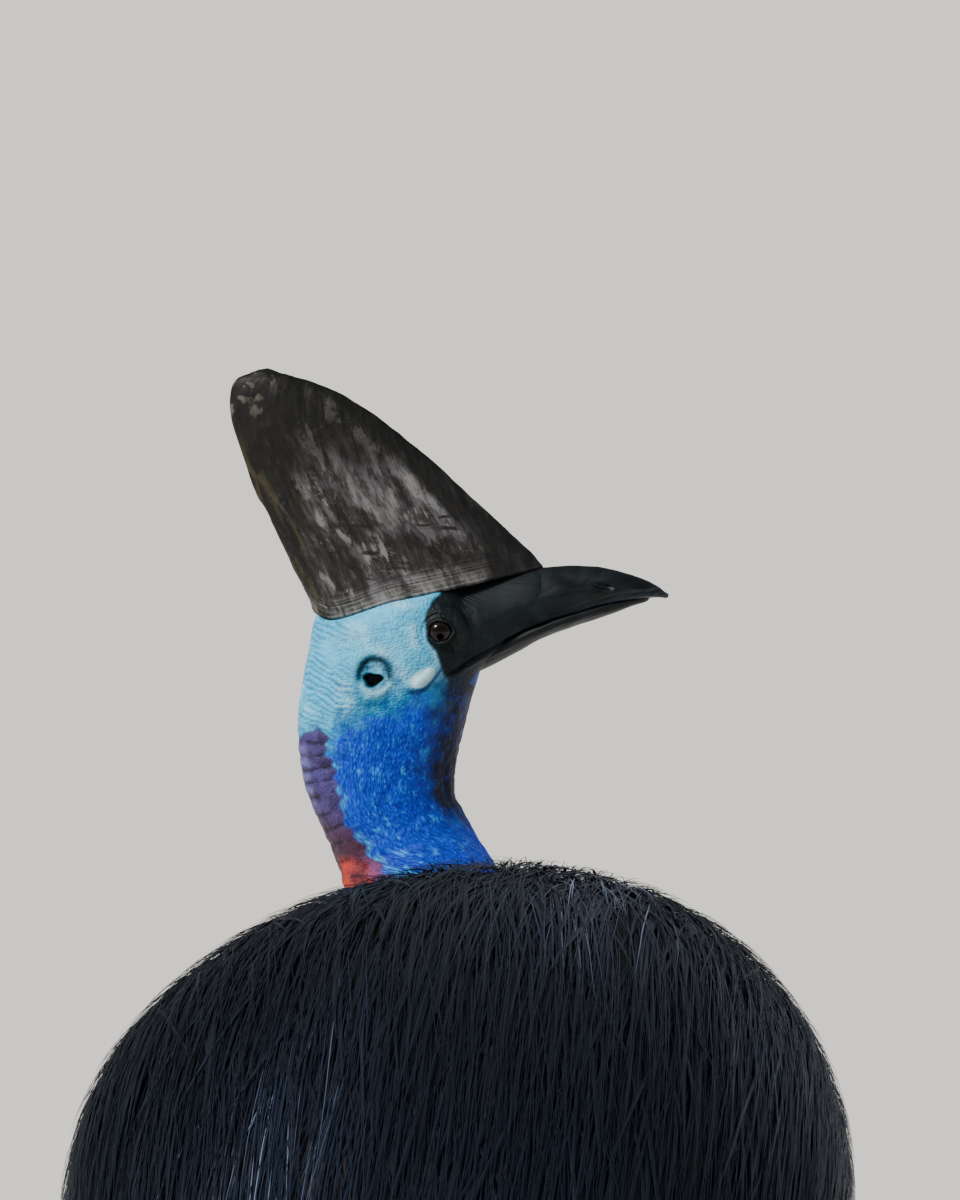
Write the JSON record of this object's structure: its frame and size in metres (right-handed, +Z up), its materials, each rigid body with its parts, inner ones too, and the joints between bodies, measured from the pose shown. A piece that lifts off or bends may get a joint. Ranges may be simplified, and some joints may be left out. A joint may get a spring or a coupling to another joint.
{
  "type": "cassowary",
  "caption": "Life-size standing cassowary with a tall casque, bare blue neck and drooping black plumage, its head turned to its right.",
  "frame": {"origin": "on the floor, under the middle of the whole bird's box", "axes": "+Z up; the body faces -Y, its left side is +X, and the bill points to -X"},
  "size_m": [0.4536, 0.965, 1.1995],
  "materials": {
    "feather": "black drooping plumage with a blue-grey sheen",
    "blue_skin": "bare cobalt-blue skin with folds",
    "pale_skin": "bare pale blue skin of the head",
    "red_skin": "soft red wattles",
    "casque_horn": "scuffed dark horn",
    "bill_horn": "smooth black horn",
    "eye": "wet dark brown eye",
    "quill": "bare black quills",
    "leg_scale": "grey-brown horny scutes",
    "claw_horn": "dark worn horn"
  },
  "bodies": {
    "root": {"torso": "feather", "thigh_left": "feather", "thigh_right": "feather", "neck_lower": "blue_skin", "neck_upper": "blue_skin", "head": "pale_skin", "wattle_left": "red_skin", "wattle_right": "red_skin", "casque": "casque_horn", "bill_upper": "bill_horn", "bill_lower": "bill_horn", "eye_left": "eye", "eye_right": "eye", "wing_left": "quill", "wing_right": "quill", "shank_left": "leg_scale", "shank_right": "leg_scale", "foot_left": "leg_scale", "foot_right": "leg_scale", "claw_inner_left": "claw_horn", "claw_middle_left": "claw_horn", "claw_outer_left": "claw_horn", "claw_inner_right": "claw_horn", "claw_middle_right": "claw_horn", "claw_outer_right": "claw_horn"}
  },
  "joints": []
}
